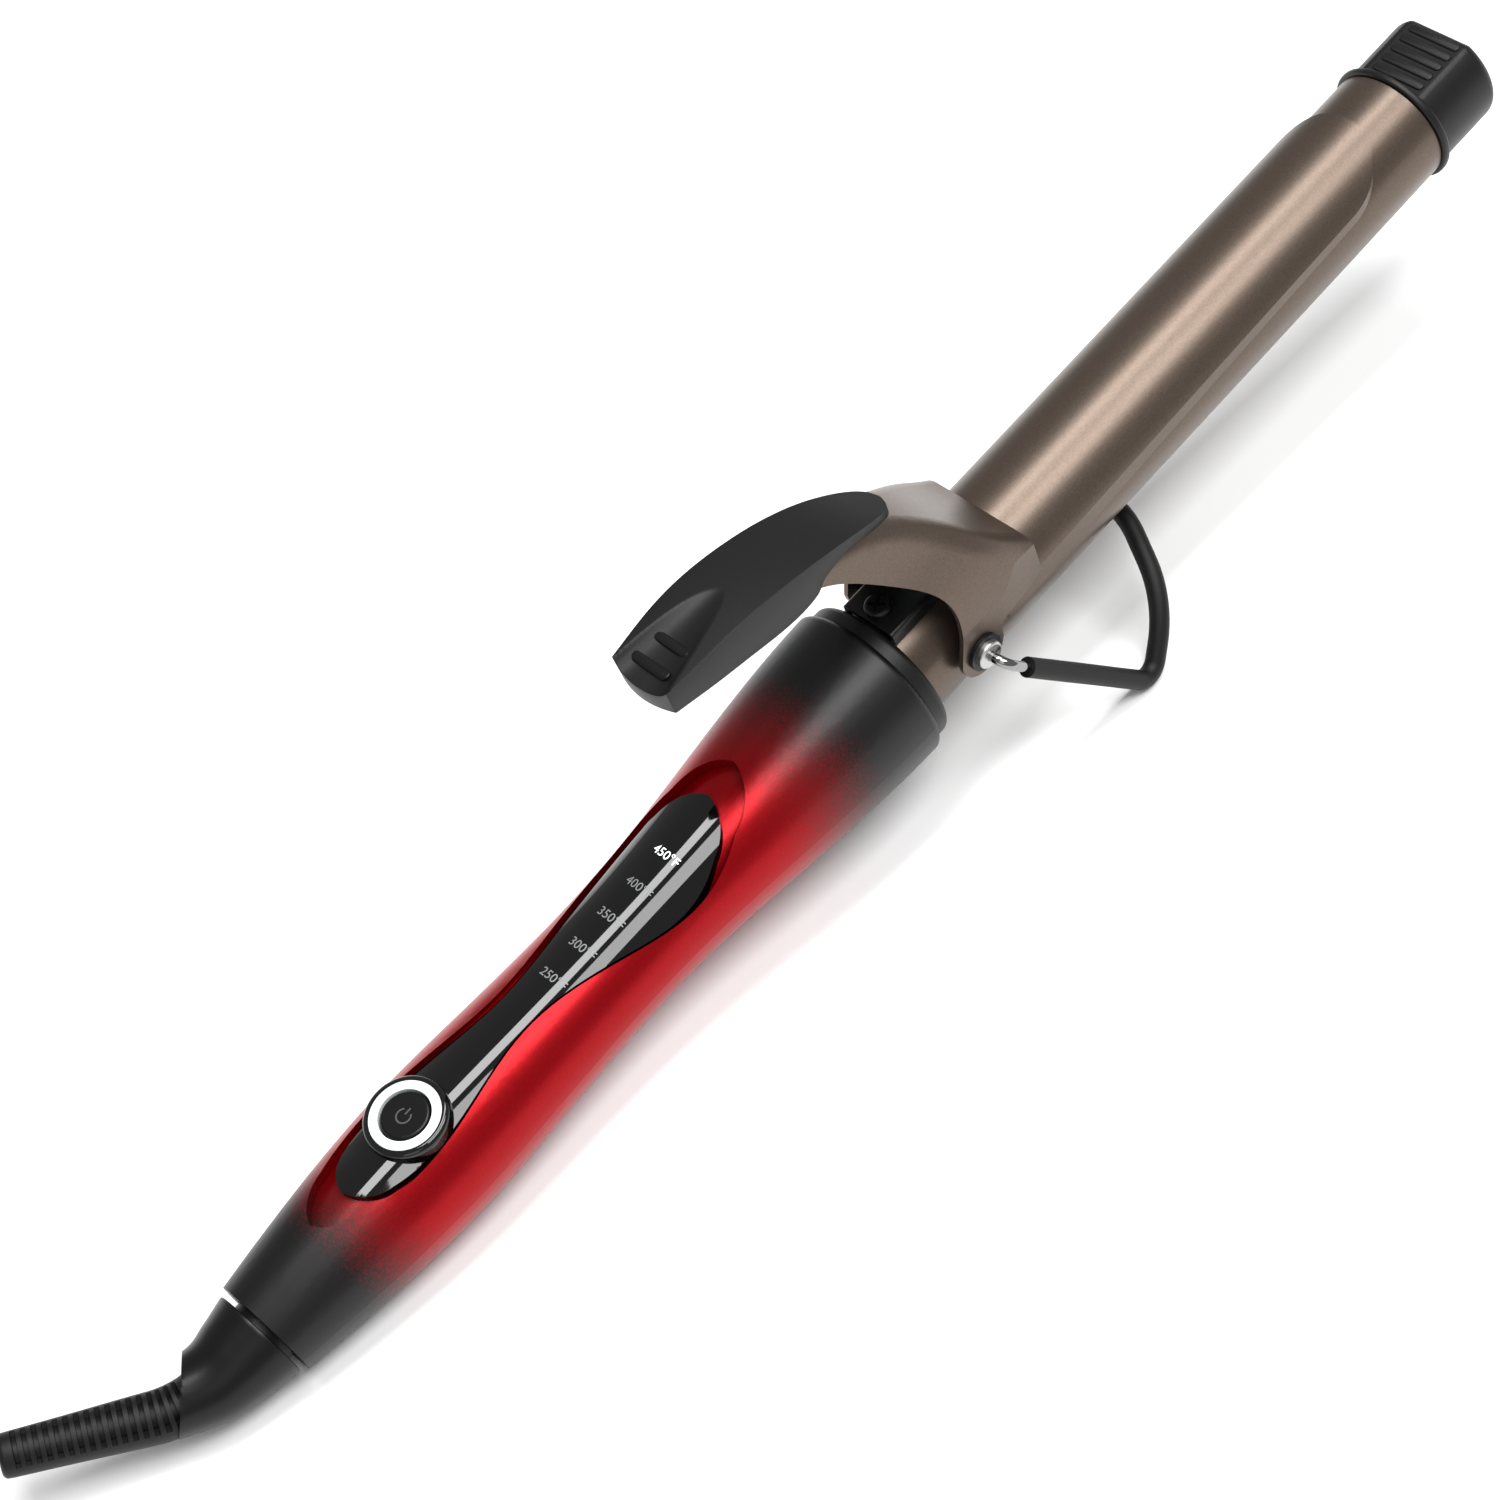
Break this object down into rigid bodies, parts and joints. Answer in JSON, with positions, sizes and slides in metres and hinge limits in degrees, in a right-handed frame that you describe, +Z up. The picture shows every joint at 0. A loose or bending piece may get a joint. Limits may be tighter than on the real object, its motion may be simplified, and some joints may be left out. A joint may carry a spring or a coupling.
{
  "type": "curling iron",
  "caption": "Electric curling iron with a round heated barrel, spring clamp with thumb rest, swing-out wire stand, contoured handle with control panel and a swivel cord exit.",
  "frame": {"origin": "middle of the bounding box, on the table under the iron, which rests on its stand", "axes": "+X towards the barrel's tip, +Y to the side, +Z up; the barrel rises towards the tip by about 6.5 degrees"},
  "size_m": [0.3862, 0.0552, 0.082],
  "materials": {
    "handle": "satin metallic red fading to black, painted on ABS",
    "fastener": "zinc plated",
    "lens": "high gloss smoked acrylic",
    "gloss_black": "high gloss",
    "light_guide": "milky, lit from behind",
    "board": "solder mask",
    "black_plastic": "fine spark texture",
    "barrel": "bronze metallic ceramic coating",
    "ceramic": "unglazed",
    "aluminium": "extruded",
    "film": "polyimide film",
    "spring_steel": "rolled",
    "lead": "silicone insulation",
    "black_steel": "black oxide",
    "chrome": "bright",
    "sleeve": "heat shrink silicone",
    "relief_rubber": "moulded PVC",
    "brass": "stamped"
  },
  "bodies": {
    "root": {"barrel_mount": "ceramic", "barrel_tube": "barrel", "board_spacers": "black_plastic", "button_bezel": "gloss_black", "circuit_board": "board", "clamp_spring": "spring_steel", "collar_ring": "black_plastic", "contact_springs": "brass", "cool_tip": "black_plastic", "display_lens": "lens", "handle_bottom_shell": "handle", "handle_screws": "fastener", "handle_top_shell": "handle", "heater_half_lower": "aluminium", "heater_half_upper": "aluminium", "heater_leads": "lead", "heater_wedges": "spring_steel", "hinge_block": "ceramic", "hinge_bush_left": "black_plastic", "hinge_bush_right": "black_plastic", "hinge_screw_left": "fastener", "hinge_screw_right": "fastener", "indicator_leds": "light_guide", "insulation_film": "film", "power_triac": "black_plastic", "ptc_element": "ceramic", "ring_light_guide": "light_guide", "spring_bracket": "black_steel", "spring_screw": "black_steel", "swivel_socket": "black_plastic", "tact_switch": "black_plastic", "thermal_fuse": "fastener", "thermistor": "ceramic", "tip_plug": "ceramic"},
    "clamp": {"clamp_plate": "barrel", "thumb_rest": "black_plastic", "thumb_rest_screws": "fastener"},
    "stand": {"stand_wire": "chrome", "stand_sleeve": "sleeve"},
    "button": {"power_button": "gloss_black"},
    "swivel": {"swivel_cap": "black_plastic", "strain_relief": "relief_rubber", "swivel_spindle": "black_plastic", "slip_rings": "brass"}
  },
  "joints": [
    {"name": "clamp_hinge", "type": "hinge", "parent": "root", "child": "clamp", "pos_m": [0.03314, 0, 0.03372], "axis": [0, -1, 0], "range_deg": [0, 22], "stiffness_Nm_per_rad": 0.25, "springref_deg": -57.3, "deforming": ["clamp_spring"]},
    {"name": "stand_hinge", "type": "hinge", "parent": "root", "child": "stand", "pos_m": [0.03314, 0, 0.03372], "axis": [0, 1, 0], "range_deg": [0, 125]},
    {"name": "button_press", "type": "slide", "parent": "root", "child": "button", "axis": [0.1136, 0, -0.9935], "range_m": [0, 0.0008], "stiffness_N_per_m": 1500, "springref_m": -0.0006},
    {"name": "cord_swivel", "type": "hinge", "parent": "root", "child": "swivel", "pos_m": [-0.14386, 0, 0.01046], "axis": [0.9935, 0, 0.1136], "continuous": true}
  ]
}
